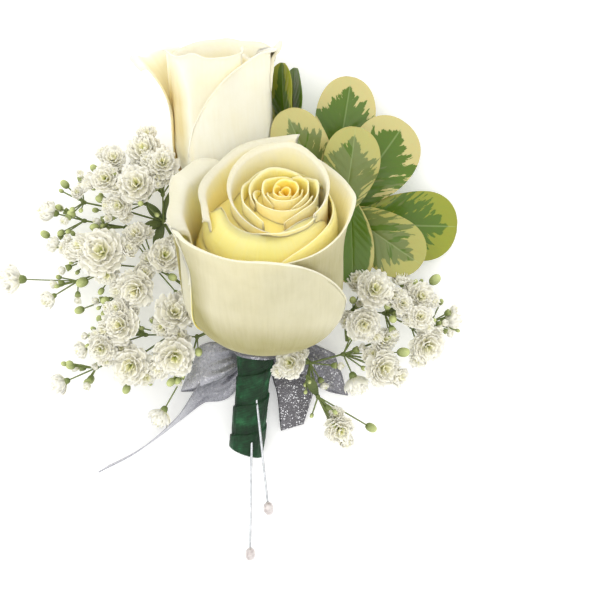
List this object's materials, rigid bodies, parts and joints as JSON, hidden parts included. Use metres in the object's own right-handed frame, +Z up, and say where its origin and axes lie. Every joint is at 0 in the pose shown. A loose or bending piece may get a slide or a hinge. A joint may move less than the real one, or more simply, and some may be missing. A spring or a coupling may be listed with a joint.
{
  "type": "boutonniere",
  "caption": "Boutonniere of cream roses with variegated pittosporum, gypsophila, a green taped stem, a silver ribbon bow and pearl-headed pins, laid on its back.",
  "frame": {"origin": "on the surface that it lies on, under the middle of its bounding box", "axes": "+Z up, away from the surface it lies on; +Y from the pins and cut stems towards the flowers; +X to the side of the pittosporum leaves"},
  "size_m": [0.1364, 0.1582, 0.0725],
  "materials": {
    "front_rose_petal": "satin",
    "back_rose_petal": "satin",
    "rose_green": "satin",
    "pittosporum_leaf": "satin",
    "gypsophila": "matte",
    "floral_tape": "satin",
    "silver_ribbon": "satin",
    "pin_steel": "polished",
    "pin_pearl": "gloss"
  },
  "bodies": {
    "root": {"front_rose_bloom": "front_rose_petal", "front_rose_stem": "rose_green", "back_rose_bloom": "back_rose_petal", "back_rose_stem": "rose_green", "pittosporum_sprig": "pittosporum_leaf", "pittosporum_side_sprig": "pittosporum_leaf", "gypsophila_upper_left": "gypsophila", "gypsophila_middle_left": "gypsophila", "gypsophila_lower_left": "gypsophila", "gypsophila_right": "gypsophila", "floral_tape_wrap": "floral_tape", "ribbon_bow": "silver_ribbon", "pin_1_shank": "pin_steel", "pin_1_pearl": "pin_pearl", "pin_2_shank": "pin_steel", "pin_2_pearl": "pin_pearl"}
  },
  "joints": []
}
